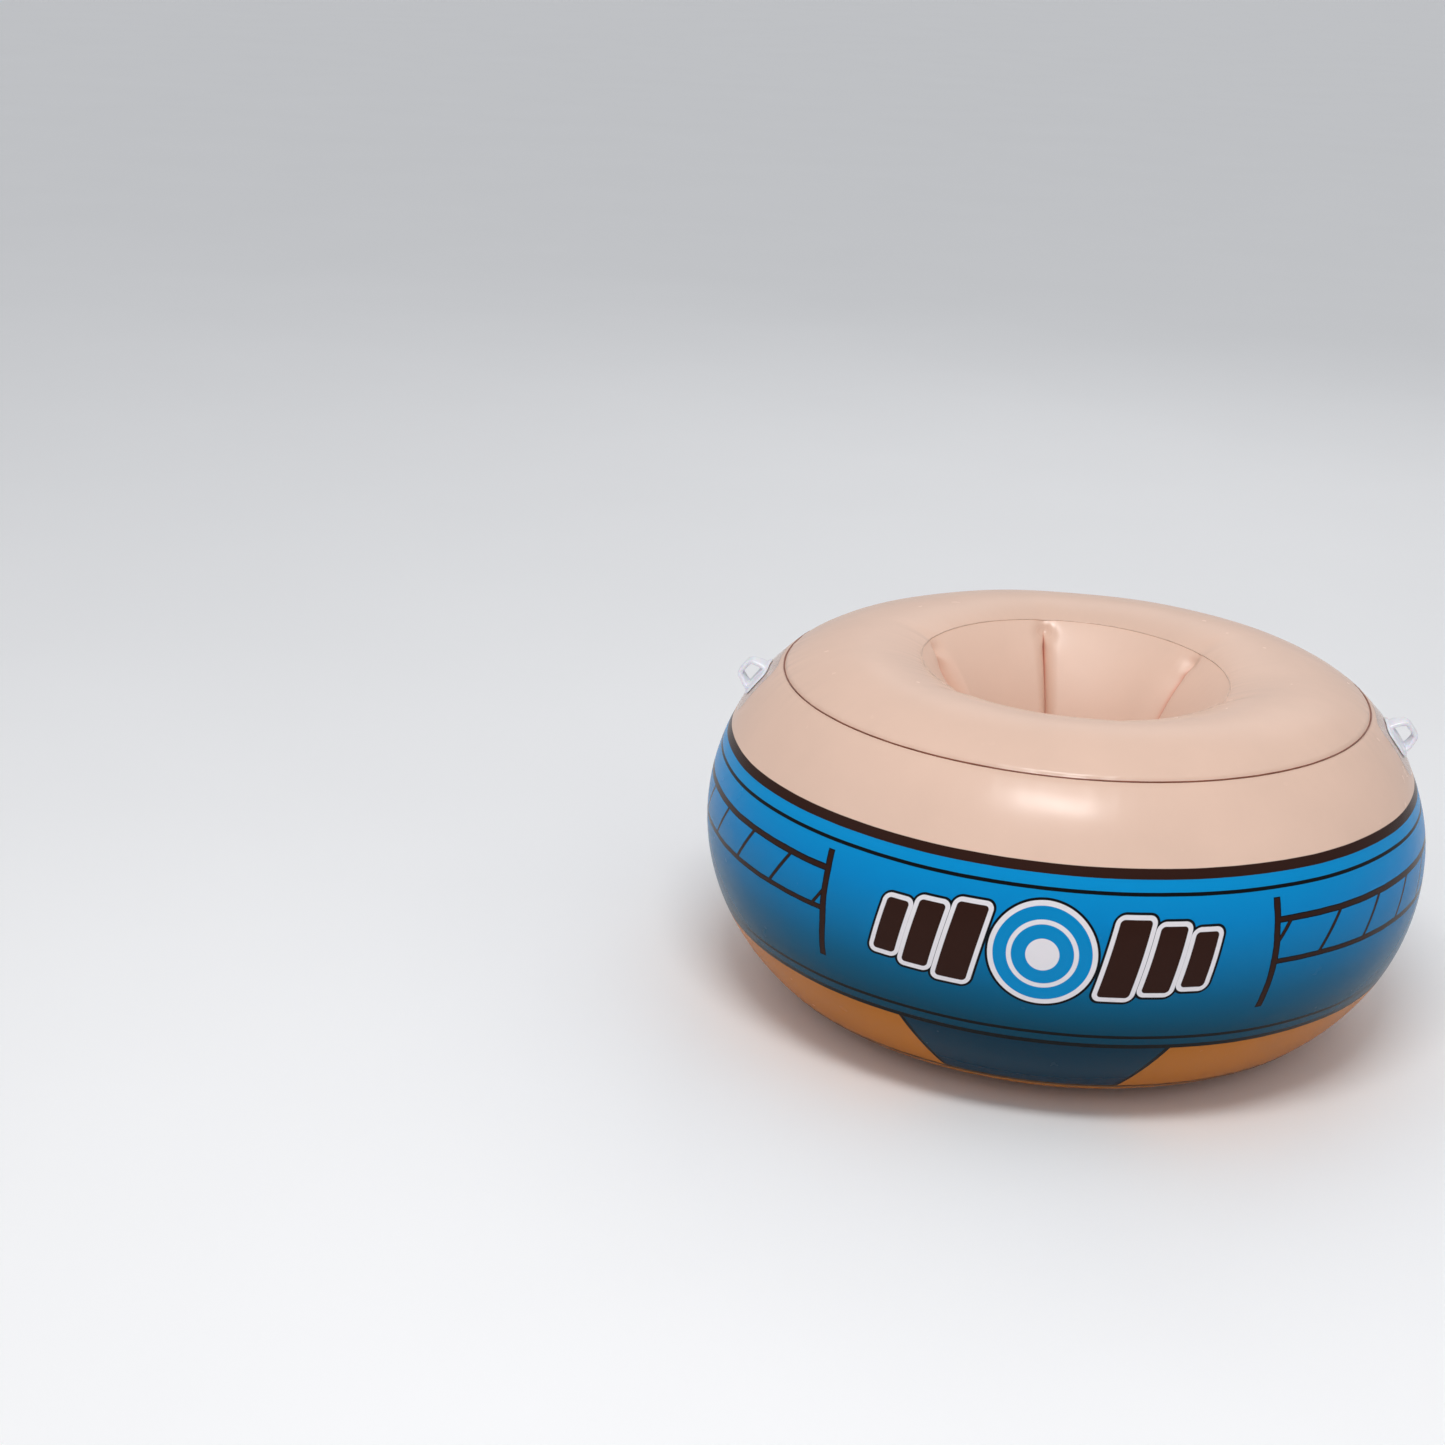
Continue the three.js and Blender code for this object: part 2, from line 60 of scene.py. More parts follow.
OUTER_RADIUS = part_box("outer_wall")[1].x
HEIGHT = 0.452
MID_HEIGHT = HEIGHT / 2
SHOULDER_SEAM = (0.369, 0.418)
HOLE_SEAM = (0.195, 0.434)
HOLE_WAIST_RADIUS = 0.107
CREASE_AZIMUTHS = np.radians([37, 104, 163, 226, 284, 340])
CREASE_DEPTHS = np.array([19, 24, 36, 26, 24, 24]) * 0.001
CREASE_SHINE = np.array([0.35, 1.0, 0.5, 0.8, 0.8, 0.8])
WIDTHS_BEFORE = np.array([0.11, 0.10, 0.10, 0.13, 0.12, 0.12])
WIDTHS_AFTER = np.array([0.22, 0.11, 0.38, 0.12, 0.12, 0.13])
SHEET = 0.6 * MM
RIM_TILT = 5.5 * MM
RIM_HIGH = math.radians(128)
SEAM_ROOM = 0.95 * MM
HOLE_ROOM = 0.78 * MM
LOOP_AZIMUTHS = {"left": math.pi, "right": 0.0}
LOOP_HEIGHT = 0.382
VALVE_AZIMUTH = math.pi / 2
VALVE_HEIGHT = 0.372


class Arc:
    """A circular arc in the half-plane of radius and height."""

    def __init__(self, centre, radius):
        self.centre, self.radius = centre, radius

    def point(self, angle, offset=0.0):
        reach = self.radius + offset
        return (
            self.centre[0] + reach * np.cos(angle),
            self.centre[1] + reach * np.sin(angle),
        )

    def angle_of(self, seam):
        return math.atan2(seam[1] - self.centre[1], seam[0] - self.centre[0])


def wall_arc(seam, waist_radius):
    rise, bulge = seam[1] - MID_HEIGHT, abs(seam[0] - waist_radius)
    radius = (rise * rise + bulge * bulge) / (2 * bulge)
    side = math.copysign(1, waist_radius - seam[0])
    return Arc((waist_radius - side * radius, MID_HEIGHT), radius)


def crown_arc(inner, outer, top):
    def reach(seam, low):
        return math.sqrt((top - low) ** 2 - (seam[1] - low) ** 2)

    low, high = 0.0, inner[1]
    for _ in range(60):
        middle = (low + high) / 2
        if reach(inner, middle) + reach(outer, middle) > outer[0] - inner[0]:
            low = middle
        else:
            high = middle
    return Arc((inner[0] + reach(inner, low), low), top - low)


OUTER_ARC = wall_arc(SHOULDER_SEAM, OUTER_RADIUS)
INNER_ARC = wall_arc(HOLE_SEAM, HOLE_WAIST_RADIUS)
CROWN_ARC = crown_arc(HOLE_SEAM, SHOULDER_SEAM, HEIGHT)

# ---- objects -------------------------------------------------------------------------------------


def add_object(name, vertices, faces, material, body="ring", slot=None, stands_for=()):
    mesh = bpy.data.meshes.new(name)
    mesh.from_pydata([tuple(v) for v in np.asarray(vertices)], [], [tuple(f) for f in faces])
    mesh.validate()
    mesh.shade_smooth()
    mesh.set_sharp_from_angle(angle=math.radians(50))
    piece = bpy.data.objects.new(name, mesh)
    bpy.context.scene.collection.objects.link(piece)
    mesh.materials.append(material)
    if body:
        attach(piece, body)
    if stands_for:
        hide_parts(*stands_for)
    return piece


def apply_modifiers(piece):
    bpy.context.view_layer.update()
    graph = bpy.context.evaluated_depsgraph_get()
    mesh = bpy.data.meshes.new_from_object(piece.evaluated_get(graph))
    old = piece.data
    piece.modifiers.clear()
    piece.data = mesh
    bpy.data.meshes.remove(old)


def ring_faces(rows, columns, rows_close):
    """Quads of a grid that closes round its columns, and round its rows too if rows_close."""
    faces = []
    for row in range(rows if rows_close else rows - 1):
        below = ((row + 1) % rows) * columns
        here = row * columns
        for column in range(columns):
            beside = (column + 1) % columns
            faces.append((here + column, here + beside, below + beside, below + column))
    return faces


def shell_of(surface, thickness):
    """A closed sheet of that thickness behind a grid of points (rows, columns, 3) that closes round."""
    along = np.gradient(surface, axis=0)
    across = np.roll(surface, -1, axis=1) - np.roll(surface, 1, axis=1)
    normal = np.cross(across, along)
    normal /= np.linalg.norm(normal, axis=2, keepdims=True)
    back = surface - normal * thickness
    grid = np.concatenate([surface, back[::-1]], axis=0)
    rows, columns = grid.shape[:2]
    return grid.reshape(-1, 3), ring_faces(rows, columns, True)


def round_points(radius, height, azimuth):
    return np.stack([radius * np.cos(azimuth), radius * np.sin(azimuth), height], axis=-1)


# ---- relief of the sheets ------------------------------------------------------------------------


def waves(azimuth, counts):
    """A sum of ripples round the ring, from -1 to 1 or so, with a fixed random phase for each."""
    phases = RANDOM.uniform(0, 2 * math.pi, len(counts))
    total = sum(np.cos(n * azimuth + p) for n, p in zip(counts, phases))
    return total / math.sqrt(len(counts))


def smooth_step(x):
    x = np.clip(x, 0, 1)
    return x * x * (3 - 2 * x)


def lobe_share(azimuth):
    """Where an azimuth lies across its lobe: 0 and 1 are its creases."""
    turn = 2 * math.pi
    ends = np.append(CREASE_AZIMUTHS, CREASE_AZIMUTHS[0] + turn)
    place = np.mod(azimuth - ends[0], turn) + ends[0]
    lobe = np.clip(np.searchsorted(ends, place, side="right") - 1, 0, len(ends) - 2)
    return (place - ends[lobe]) / (ends[lobe + 1] - ends[lobe])


SCALLOP = 1.6 * MM
SCALLOP_MEAN = 0.6
SCALLOP_NOTCH = 2.2 * MM
NOTCH_SHARE = 0.05


def bell(x, width):
    return np.exp(-((x / width) ** 2))


def scallop(azimuth):
    """How far the hole seam is drawn in: most at the middle of a lobe, and pulled back at a crease."""
    share = lobe_share(azimuth)
    near = np.minimum(share, 1 - share)
    return SCALLOP * (4 * share * (1 - share) - SCALLOP_MEAN) - SCALLOP_NOTCH * bell(near, NOTCH_SHARE)


def rim_tilt(azimuth):
    """How far the hole's mouth stands above its mean level: it dips towards the front right."""
    return RIM_TILT * np.cos(azimuth - RIM_HIGH)


SEAM_DIP = 1.5 * MM
SEAM_DIP_WIDTH = 3.2 * MM


def seam_dip(distance):
    return -SEAM_DIP * bell(distance, SEAM_DIP_WIDTH)


PUCKERS = waves(np.linspace(0, 2 * math.pi, 1441), (43, 61, 83, 107, 131))


def pucker(azimuth, distance, size, fade=16 * MM):
    """Small gathers that run off a seam."""
    turn = np.mod(azimuth, 2 * math.pi) / (2 * math.pi) * (len(PUCKERS) - 1)
    ripple = np.interp(turn, np.arange(len(PUCKERS)), PUCKERS)
    return size * ripple * np.exp(-distance / fade) * smooth_step(distance / (4 * MM))


CALM_REACH = 60 * MM


def calm(azimuth, height):
    """0 beside a welded fitting, where the sheet lies still, and 1 away from it."""
    value = 1.0
    for place, level in ((0.0, LOOP_HEIGHT), (math.pi, LOOP_HEIGHT), (VALVE_AZIMUTH, VALVE_HEIGHT)):
        turn = np.angle(np.exp(1j * (azimuth - place)))
        apart = np.hypot(turn * OUTER_RADIUS, height - level)
        value = value * smooth_step((apart - CALM_REACH) / CALM_REACH)
    return value


def soft_spacing(start, stop, count, crowd=0.7):
    """Positions from start to stop that crowd at both ends."""
    t = np.linspace(0, 1, count)
    return start + (stop - start) * (t - crowd * np.sin(2 * math.pi * t) / (2 * math.pi))


# ---- shader helpers ------------------------------------------------------------------------------


def linear(red, green, blue, alpha=1.0):
    """A linear colour from sRGB bytes."""
    tone = [c / 255 for c in (red, green, blue)]
    return [c / 12.92 if c <= 0.04045 else ((c + 0.055) / 1.055) ** 2.4 for c in tone] + [alpha]


class Field:
    """A number that varies over a surface, made of shader math nodes."""

    def __init__(self, tree, socket):
        self.tree, self.socket = tree, socket

    def op(self, kind, *others, clamp=False):
        node = self.tree.nodes.new("ShaderNodeMath")
        node.operation, node.use_clamp = kind, clamp
        for place, value in enumerate((self, *others)):
            if isinstance(value, Field):
                self.tree.links.new(value.socket, node.inputs[place])
            else:
                node.inputs[place].default_value = value
        return Field(self.tree, node.outputs[0])

    def __add__(self, other):
        return self.op("ADD", other)

    def __sub__(self, other):
        return self.op("SUBTRACT", other)

    def __mul__(self, other):
        return self.op("MULTIPLY", other)

    def __neg__(self):
        return self.op("MULTIPLY", -1.0)

    def size(self):
        return self.op("ABSOLUTE")

    def least(self, other):
        return self.op("MINIMUM", other)

    def most(self, other):
        return self.op("MAXIMUM", other)

    def inside(self, soft=0.5):
        """1 where the field is below zero and 0 above, over a soft edge of that width."""
        return self.op("MULTIPLY_ADD", -1 / soft, 0.5, clamp=True)

    def hypot(self, other):
        return (self * self + other * other).op("SQRT")


class Paint:
    """A material under construction: a Principled shader and the helpers that feed it."""

    def __init__(self, name):
        self.material = bpy.data.materials.new(name)
        self.material.use_nodes = True
        self.tree = self.material.node_tree
        self.shader = self.tree.nodes["Principled BSDF"]
        self.place = self.tree.nodes.new("ShaderNodeTexCoord").outputs["Object"]

    def set(self, **values):
        for name, value in values.items():
            self.shader.inputs[name.replace("_", " ")].default_value = value
        return self

    def axes(self):
        node = self.tree.nodes.new("ShaderNodeSeparateXYZ")
        self.tree.links.new(self.place, node.inputs[0])
        return [Field(self.tree, out) for out in node.outputs]

    def noise(self, scale, detail=2.0, roughness=0.5):
        node = self.tree.nodes.new("ShaderNodeTexNoise")
        node.inputs["Scale"].default_value = scale
        node.inputs["Detail"].default_value = detail
        node.inputs["Roughness"].default_value = roughness
        self.tree.links.new(self.place, node.inputs["Vector"])
        return Field(self.tree, node.outputs[0])

    def attribute(self, name):
        node = self.tree.nodes.new("ShaderNodeAttribute")
        node.attribute_name = name
        return Field(self.tree, node.outputs["Fac"])

    def ramp(self, field, stops, low, high):
        node = self.tree.nodes.new("ShaderNodeValToRGB")
        while len(node.color_ramp.elements) < len(stops):
            node.color_ramp.elements.new(0.5)
        for element, (at, colour) in zip(node.color_ramp.elements, stops):
            element.position = (at - low) / (high - low)
            element.color = colour
        scaled = (field - low) * (1 / (high - low))
        self.tree.links.new(scaled.socket, node.inputs[0])
        return node.outputs[0]

    def over(self, base, colour, mask):
        """colour laid over base where mask is 1. Each colour is a socket or four numbers."""
        node = self.tree.nodes.new("ShaderNodeMix")
        node.data_type = "RGBA"
        self.tree.links.new(mask.socket, node.inputs["Factor"])
        for value, socket in ((base, node.inputs[6]), (colour, node.inputs[7])):
            if isinstance(value, bpy.types.NodeSocket):
                self.tree.links.new(value, socket)
            else:
                socket.default_value = value
        return node.outputs[2]

    def mottled(self, colour, shade=0.94, scale=9.0):
        """The colour with a faint, cloudy change of tone."""
        darker = [c * shade for c in colour[:3]] + [1.0]
        return self.over(colour, darker, self.noise(scale, 4.0).op("MULTIPLY_ADD", 2.0, -0.5, clamp=True))

    def colour(self, socket):
        self.tree.links.new(socket, self.shader.inputs["Base Color"])

    def rough(self, low, high, scale=40.0):
        spread = self.noise(scale, 2.0) * (high - low) + low
        self.tree.links.new(spread.socket, self.shader.inputs["Roughness"])

    def bump(self, field, distance, strength=1.0):
        node = self.tree.nodes.new("ShaderNodeBump")
        node.inputs["Strength"].default_value = strength
        node.inputs["Distance"].default_value = distance
        self.tree.links.new(field.socket, node.inputs["Height"])
        if self.shader.inputs["Normal"].is_linked:
            self.tree.links.new(self.shader.inputs["Normal"].links[0].from_socket, node.inputs["Normal"])
        self.tree.links.new(node.outputs[0], self.shader.inputs["Normal"])

    def film(self, low=0.23, high=0.29):
        """Calendered film: an orange-peel grain, long soft waves and uneven gloss."""
        self.rough(low, high)
        self.bump(self.noise(170.0, 1.0), 0.00006, 0.25)
        self.bump(self.noise(38.0, 1.0), 0.0005, 0.3)
        self.shader.inputs["Specular IOR Level"].default_value = FILM_GLOSS


FILM_GLOSS = 0.08
LOBE_GLOSS = 0.32
LOBE_DULL, DIMPLE_POLISH = 0.56, 0.36
# Painted shade: the hole's creases get a darker red, for the shadow and red bounce light deep in each fold.
FOLD_SHADE_RED, FOLD_SHADE_STRENGTH = linear(226, 130, 104), 0.8
SKIN = linear(230, 197, 178)
LOBE_SKIN = linear(233, 199, 179)
INK = linear(8, 12, 15)
BROWN_INK = linear(48, 25, 18)
TAN = linear(176, 106, 36)
WHITE_INK = linear(226, 222, 226)
FLAP_BLUE = linear(0, 46, 66)


def skin_material():
    paint = Paint("skin_vinyl")
    paint.colour(paint.mottled(SKIN))
    paint.film()
    return paint.material


def lobe_material():
    """The hole's wall: duller where it is stretched, glossy in the dimples, with painted red shade in each
    fold.
    """
    paint = Paint("lobe_vinyl")
    tone = paint.mottled(LOBE_SKIN)
    # Painted shade: a darker red laid over the skin deep in each crease.
    paint.colour(paint.over(tone, FOLD_SHADE_RED, paint.attribute("fold_shade") * FOLD_SHADE_STRENGTH))
    paint.film()
    paint.shader.inputs["Specular IOR Level"].default_value = LOBE_GLOSS
    dull = paint.noise(40.0, 2.0) * 0.05 + LOBE_DULL
    rough = dull - paint.attribute("dimple") * DIMPLE_POLISH
    paint.tree.links.new(rough.socket, paint.shader.inputs["Roughness"])
    return paint.material


def tan_material():
    paint = Paint("tan_vinyl")
    paint.colour(paint.mottled(TAN, 0.9))
    paint.film()
    return paint.material


# ---- print on the wall, in degrees from the front and in millimetres -----------------------------

TOP_LINE = (332.0, 5.6)
THIN_LINES = ((311.0, 2.1), (133.0, 2.2))
LOW_LINE = (118.5, 3.0)
POST_ANGLE = 34.6
POST_SPAN = (233.5, 66.5)
RAILS = (276.0, 226.5)
RAIL_TILT = 6.3
POST_SWING = 0.0002
RUNG_PITCH = 10.0
RUNG_LEAN = 0.091
RUNG_HALF, POST_HALF = 3.1, 4.7
BADGE_ANGLE = -0.6
BADGE_HEIGHT = 236.5
DISC_EDGE, DISC_RIM, DISC_BLUE, DISC_RING, DISC_CORE = 65.0, 62.0, 56.0, 38.0, 19.0
DISC_RING_HALF = 2.7
BAR_CORNER = 5.0
OUTLINE_DARK, OUTLINE_LIGHT = 8.5, 5.5
EMBLEM_BLUE = linear(4, 132, 192)
FLAP_SIDES = (-22.3, 20.4)
FLAP_TOP = 122.0
FLAP_FLARE = 5.5 / 77
FLAP_LINE_HALF = 3.0
MM_PER_DEGREE = OUTER_RADIUS / MM * math.pi / 180
BAR_LEAN = 0.22
BARS = ((93.0, 18.5, 47.0), (139.0, 16.0, 40.0), (180.0, 14.0, 33.0))
# The belt's blue by height, dark at the bottom and bright at the top: partly the print's own fade, partly
# painted shade on the lower wall that faces down.
BELT_PRINT_AND_SHADE_STOPS = (
    (100, linear(1, 52, 70)),
    (140, linear(1, 66, 90)),
    (185, linear(1, 90, 128)),
    (230, linear(1, 112, 165)),
    (280, linear(1, 130, 194)),
    (320, linear(2, 140, 203)),
)


def ladder_field(angle, height, sideways, waver):
    """Distance to the drawn ladder: two rails, slanted rungs, and the post that each side ends at."""
    middle = sum(RAILS) / 2
    side = (angle + 0.5).size()
    swing = (height * -1.0 + middle).most(0.0)
    lean = swing * swing * angle.op("GREATER_THAN", 0.0) * POST_SWING
    past_post = (side * -1.0 + POST_ANGLE - lean) * MM_PER_DEGREE
    level = height + sideways * RAIL_TILT
    rails = (level - RAILS[0] + waver).size().least((level - RAILS[1] - waver).size() + 0.6) - 4.0
    turn = (angle + 0.3 - (height - 255.5) * RUNG_LEAN) * (1 / RUNG_PITCH) + 100.0
    rung = ((turn.op("FRACT") - 0.53).size() * RUNG_PITCH * MM_PER_DEGREE + waver).size() - RUNG_HALF
    between = (level - middle).size() - (RAILS[0] - RAILS[1]) / 2
    lines = rails.least(rung.most(between)).most(past_post)
    from_post = (past_post + waver * 2.0).size() - POST_HALF
    reach = (height - POST_SPAN[0]).size() - POST_SPAN[1]
    return lines.least(from_post.most(reach))


def badge_fields(angle, height):
    """Distances to the plain emblem: slanted bars on both sides of a disc, and the disc's centre."""
    u = (angle - BADGE_ANGLE) * MM_PER_DEGREE
    v = height - BADGE_HEIGHT
    slanted = u - v * BAR_LEAN
    bars = None
    for centre, half_width, half_height in BARS:
        across = (slanted.size() - centre).size() - half_width
        up = v.size() - half_height
        rim = (across + BAR_CORNER).most(0.0).hypot((up + BAR_CORNER).most(0.0)) - BAR_CORNER
        bar = rim.most(across.most(up))
        bars = bar if bars is None else bars.least(bar)
    return bars, u.hypot(v)


def belt_material():
    paint = Paint("printed_vinyl")
    x, y, z = paint.axes()
    angle = x.op("ARCTAN2", -y) * (180 / math.pi)
    height = z * 1000.0
    waver = (paint.noise(26.0, 3.0) - 0.5) * 2.2
    # Print colour by height, with painted shade on the lower belt.
    colour = paint.ramp(height, BELT_PRINT_AND_SHADE_STOPS, 90, 340)
    ladder = ladder_field(angle, height, x, waver)
    colour = paint.over(colour, INK, ladder.inside())
    colour = paint.over(colour, BROWN_INK, (ladder + 1.3).inside())

    bars, apart = badge_fields(angle, height)
    emblem = bars.least(apart - DISC_BLUE)
    for ink, field in (
        (INK, emblem - OUTLINE_DARK), (WHITE_INK, emblem - OUTLINE_LIGHT), (BROWN_INK, bars),
        (INK, apart - DISC_EDGE), (WHITE_INK, apart - DISC_RIM), (EMBLEM_BLUE, apart - DISC_BLUE),
        (WHITE_INK, (apart - DISC_RING).size() - DISC_RING_HALF), (WHITE_INK, apart - DISC_CORE),
    ):
        colour = paint.over(colour, ink, field.inside())

    edge = (height - FLAP_TOP) * FLAP_FLARE
    left = (angle - FLAP_SIDES[0] + edge) * -MM_PER_DEGREE
    right = (angle - FLAP_SIDES[1] - edge) * MM_PER_DEGREE
    flap = left.most(right)
    below = (height - LOW_LINE[0] + waver * 0.3).inside()
    tan = paint.mottled(TAN, 0.9)
    lower = paint.over(tan, FLAP_BLUE, flap.inside())
    lower = paint.over(lower, INK, (flap.size() - FLAP_LINE_HALF).inside())
    colour = paint.over(colour, lower, below)
    for level, half in (*THIN_LINES, LOW_LINE):
        colour = paint.over(colour, INK, ((height - level + waver * 0.25).size() - half).inside())
    above = (height * -1.0 + TOP_LINE[0]).inside()
    colour = paint.over(colour, paint.mottled(SKIN), above)
    colour = paint.over(
        colour, BROWN_INK, ((height - TOP_LINE[0] + waver * 0.25).size() - TOP_LINE[1]).inside()
    )
    paint.colour(colour)
    paint.film()
    return paint.material


# ---- materials of the small pieces ---------------------------------------------------------------


def weld_material(name, colour):
    paint = Paint(name)
    paint.colour(paint.mottled(colour, 0.7, 60.0))
    paint.rough(0.3, 0.5, 120.0)
    paint.bump(paint.noise(700.0, 3.0), 0.0002, 0.6)
    return paint.material


def clear_material(name, alpha):
    paint = Paint(name)
    paint.colour(paint.mottled(linear(244, 238, 236), 0.93, 40.0))
    paint.rough(0.08, 0.2, 60.0)
    paint.bump(paint.noise(90.0, 2.0), 0.0004, 0.4)
    paint.set(Alpha=alpha, IOR=1.5, Coat_Weight=0.6, Coat_Roughness=0.05)
    return paint.material


def white_material():
    paint = Paint("white_pvc")
    paint.colour(paint.mottled(linear(233, 233, 240), 0.93, 55.0))
    paint.rough(0.28, 0.42, 90.0)
    paint.bump(paint.noise(1100.0, 2.0), 0.00005, 0.5)
    paint.set(Subsurface_Weight=0.25, Subsurface_Scale=0.004, IOR=1.5, Coat_Weight=0.15, Coat_Roughness=0.2)
    return paint.material


def seal_material():
    paint = Paint("gasket_rubber")
    paint.colour(paint.mottled(linear(96, 98, 102), 0.8, 200.0))
    paint.rough(0.5, 0.7, 300.0)
    paint.bump(paint.noise(1500.0, 3.0), 0.0001, 0.6)
    return paint.material


SKIN_VINYL = skin_material()
LOBE_VINYL = lobe_material()
TAN_VINYL = tan_material()
PRINTED_VINYL = belt_material()
# Painted shadow: the shoulder fin's dark brown stands for the shade in the seam's groove.
SHOULDER_WELD_SHADE = weld_material("shoulder_seam_shade", linear(142, 78, 52))
HOLE_WELD = weld_material("skin_weld", linear(230, 198, 178))
BOTTOM_WELD = weld_material("tan_weld", linear(120, 78, 38))
CLEAR_PATCH = clear_material("clear_vinyl", 0.3)
CLEAR_FLAP = clear_material("clear_flap_pvc", 0.55)
WHITE_PVC = white_material()
SEAL_RUBBER = seal_material()

# ---- sheets --------------------------------------------------------------------------------------


PULL_REACH = 0.035
PULL_RISE = 0.6
FLOOR_BLEND = 1.4 * MM


def mirror(points):
    flipped = points.copy()
    flipped[..., 2] = HEIGHT - flipped[..., 2]
    return flipped[:, ::-1]


def crown_surface(tilt):
    azimuth = np.linspace(0, 2 * math.pi, 540, endpoint=False)[None, :]
    start = CROWN_ARC.angle_of(SHOULDER_SEAM) + SEAM_ROOM / CROWN_ARC.radius
    stop = CROWN_ARC.angle_of(HOLE_SEAM) - HOLE_ROOM / CROWN_ARC.radius
    angle = soft_spacing(start, stop, 46)[:, None]
    outer, inner = (angle - start) * CROWN_ARC.radius, (stop - angle) * CROWN_ARC.radius
    swell = smooth_step(np.minimum(outer, inner) / 0.06)
    offset = seam_dip(outer) + 0.25 * seam_dip(inner)
    offset = offset + pucker(azimuth, outer, 0.35 * MM) + pucker(azimuth, inner, 0.2 * MM, 22 * MM)
    offset = offset + 0.5 * MM * swell * waves(azimuth, (3, 5, 8, 11))
    radius, height = CROWN_ARC.point(angle, offset)
    pull = scallop(azimuth) * bell(inner, PULL_REACH)
    height = height + PULL_RISE * pull + tilt * rim_tilt(azimuth) * bell(inner, 2 * PULL_REACH)
    return round_points(radius - pull, height, azimuth)


def make_top_skin():
    add_object(
        "top_skin", *shell_of(crown_surface(1), SHEET), SKIN_VINYL, slot="skin_sheet",
        stands_for=["top_panel"],
    )


def make_bottom_skin():
    surface = mirror(crown_surface(0))
    height = np.maximum(surface[..., 2], 0)
    surface[..., 2] = height * smooth_step(height / FLOOR_BLEND)
    add_object(
        "bottom_skin", *shell_of(surface, SHEET), TAN_VINYL, slot="tan_sheet",
        stands_for=["bottom_panel"],
    )


def wall_point(azimuth, lift, offset=0.0):
    """The outer wall's surface, with its relief, moved out by offset."""
    end = OUTER_ARC.angle_of(SHOULDER_SEAM) - SEAM_ROOM / OUTER_ARC.radius
    edge = (end - np.abs(lift)) * OUTER_ARC.radius
    _, level = OUTER_ARC.point(lift)
    relief = pucker(azimuth, edge, 0.3 * MM)
    relief = relief + 0.35 * MM * WALL_SWELL(azimuth, lift) * smooth_step(edge / 0.05)
    radius, height = OUTER_ARC.point(lift, relief * calm(azimuth, level) + seam_dip(edge) + offset)
    return round_points(radius, height, azimuth)


def wall_swell():
    phases = RANDOM.uniform(0, 2 * math.pi, 4)

    def swell(azimuth, lift):
        parts = zip((4, 7, 11, 17), (2.0, -3.0, 4.0, 2.5), phases)
        return sum(np.cos(n * azimuth + m * lift + p) for n, m, p in parts) / 2

    return swell


WALL_SWELL = wall_swell()


def make_wall_skin():
    azimuth = np.linspace(0, 2 * math.pi, 640, endpoint=False)[None, :]
    end = OUTER_ARC.angle_of(SHOULDER_SEAM) - SEAM_ROOM / OUTER_ARC.radius
    lift = soft_spacing(end, -end, 64, 0.6)[:, None]
    surface = wall_point(azimuth, lift)[:, ::-1]
    return add_object(
        "wall_skin", *shell_of(surface, SHEET), PRINTED_VINYL, slot="printed_sheet",
        stands_for=["outer_wall"],
    )


LOBE_CROWN = 8 * MM
DIMPLE_DEPTH = 8 * MM
DIMPLE_PLACE = 0.042
PLEAT = 0.25 * MM


def hole_surface():
    """The buckled wall of the hole, how deep each of its points is in a fold, which sets its painted shade,
    and how far in a dimple.
    """
    share = soft_spacing(0, 1, 85, 0.88)[:-1]
    starts = CREASE_AZIMUTHS
    spans = np.diff(np.append(starts, starts[0] + 2 * math.pi))
    azimuth = np.concatenate([s + w * share for s, w in zip(starts, spans)])[None, :]
    across = np.tile(share, len(starts))[None, :]
    lobe = np.repeat(np.arange(len(starts)), len(share))[None, :]
    room = HOLE_ROOM / INNER_ARC.radius
    start = INNER_ARC.angle_of(HOLE_SEAM) + room
    stop = 2 * math.pi - start
    angle = soft_spacing(start, stop, 92, 0.55)[:, None]
    down = (angle - start) / (stop - start)
    edge = np.minimum(down, 1 - down)
    near = np.minimum(across, 1 - across)
    crease = np.where(across < 0.5, lobe, (lobe + 1) % len(starts))
    width = np.where(across < 0.5, WIDTHS_AFTER[crease], WIDTHS_BEFORE[crease])
    slot = np.clip(1 - near / width, 0, 1)
    lips = 1 - np.sqrt(1 - slot * slot)
    opening = smooth_step((edge - 0.03) / 0.08)
    dimple = bell(edge - DIMPLE_PLACE, 0.026) * bell(near, 0.065)
    swell = np.sin(math.pi * down)
    crown = LOBE_CROWN * swell * 4 * across * (1 - across)
    fullness = RANDOM.uniform(0.85, 1.2, len(starts))[lobe]
    from_seam = edge * (stop - start) * INNER_ARC.radius
    pleat = pucker(azimuth, from_seam, PLEAT, 25 * MM)
    offset = CREASE_DEPTHS[crease] * opening * lips + DIMPLE_DEPTH * dimple - crown * fullness - pleat
    radius, height = INNER_ARC.point(angle)
    pull = scallop(azimuth) * bell(from_seam, PULL_REACH)
    settle = np.where(down < 0.5, PULL_RISE, -PULL_RISE) * pull
    settle = settle + rim_tilt(azimuth) * smooth_step(1 - down / 0.45)
    # How much painted red shade each point gets: most deep in an open crease.
    fold_shade = opening * smooth_step((lips - 0.45) / 0.55)
    wander = np.sin(down * 9.0 + lobe * 1.7) * bell(near, 0.2) * swell * 0.012
    shine = bell(edge - DIMPLE_PLACE, 0.045) * bell(near, 0.13) * CREASE_SHINE[crease]
    return round_points(radius + offset - pull, height + settle, azimuth + wander), fold_shade, shine


